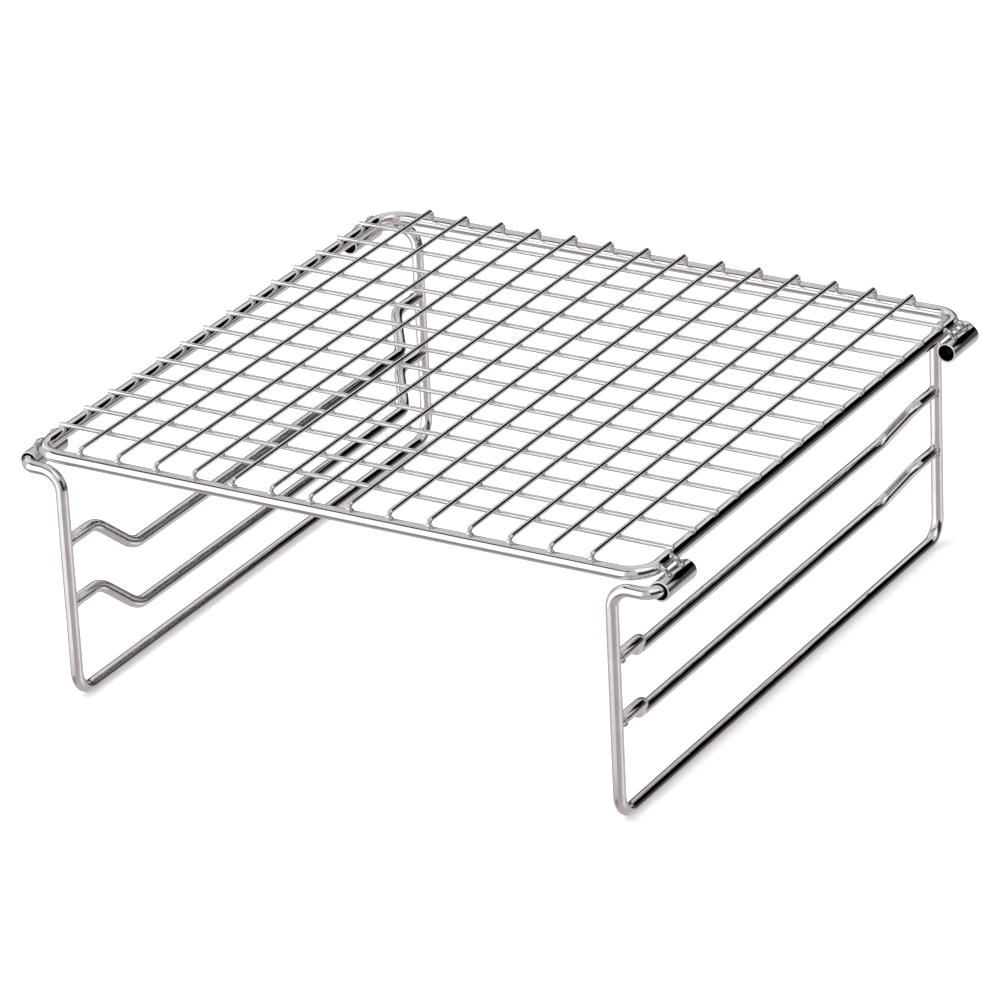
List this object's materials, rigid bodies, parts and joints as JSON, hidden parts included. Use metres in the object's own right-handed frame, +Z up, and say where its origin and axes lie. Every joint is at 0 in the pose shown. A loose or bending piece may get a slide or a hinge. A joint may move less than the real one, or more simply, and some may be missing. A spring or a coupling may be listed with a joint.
{
  "type": "cooling rack",
  "caption": "Wire cooling rack: a raised mesh top on folding wire legs that turn in hinge barrels welded to the rim, with stepped shelf rails for trays.",
  "frame": {"origin": "centre of the footprint, on the surface that the rack stands on, legs down", "axes": "+Z up; +X across the rack from the left leg to the right leg; +Y from the front rail to the rear rail"},
  "size_m": [0.2646, 0.2536, 0.1012],
  "materials": {
    "polished_rod": "mirror-polished stainless steel rod",
    "polished_wire": "polished stainless steel wire with small resistance-weld marks",
    "polished_tube": "polished stainless steel tube, darker inside its bore",
    "weld_metal": "bright, slightly uneven weld metal"
  },
  "bodies": {
    "top": {"rim": "polished_rod", "long_wire_1": "polished_wire", "long_wire_2": "polished_wire", "long_wire_3": "polished_wire", "long_wire_4": "polished_wire", "long_wire_5": "polished_wire", "long_wire_6": "polished_wire", "long_wire_7": "polished_wire", "long_wire_8": "polished_wire", "long_wire_9": "polished_wire", "long_wire_10": "polished_wire", "long_wire_11": "polished_wire", "long_wire_12": "polished_wire", "long_wire_13": "polished_wire", "long_wire_14": "polished_wire", "cross_wire_1": "polished_wire", "cross_wire_2": "polished_wire", "cross_wire_3": "polished_wire", "cross_wire_4": "polished_wire", "cross_wire_5": "polished_wire", "cross_wire_6": "polished_wire", "cross_wire_7": "polished_wire", "cross_wire_8": "polished_wire", "cross_wire_9": "polished_wire", "cross_wire_10": "polished_wire", "cross_wire_11": "polished_wire", "cross_wire_12": "polished_wire", "cross_wire_13": "polished_wire", "cross_wire_14": "polished_wire", "hinge_barrel_front_left": "polished_tube", "hinge_barrel_front_right": "polished_tube", "hinge_barrel_rear_left": "polished_tube", "hinge_barrel_rear_right": "polished_tube", "barrel_welds_front_left": "weld_metal", "barrel_welds_front_right": "weld_metal", "barrel_welds_rear_left": "weld_metal", "barrel_welds_rear_right": "weld_metal"},
    "leg_left": {"leg_frame_left": "polished_rod", "upper_shelf_rail_left": "polished_rod", "lower_shelf_rail_left": "polished_rod"},
    "leg_right": {"leg_frame_right": "polished_rod", "upper_shelf_rail_right": "polished_rod", "lower_shelf_rail_right": "polished_rod"}
  },
  "joints": [
    {"name": "leg_left_fold", "type": "hinge", "parent": "top", "child": "leg_left", "pos_m": [-0.1285, 0, 0.0904], "axis": [0, 1, 0], "range_deg": [0, 271]},
    {"name": "leg_right_fold", "type": "hinge", "parent": "top", "child": "leg_right", "pos_m": [0.1285, 0, 0.0904], "axis": [0, -1, 0], "range_deg": [0, 271]}
  ]
}
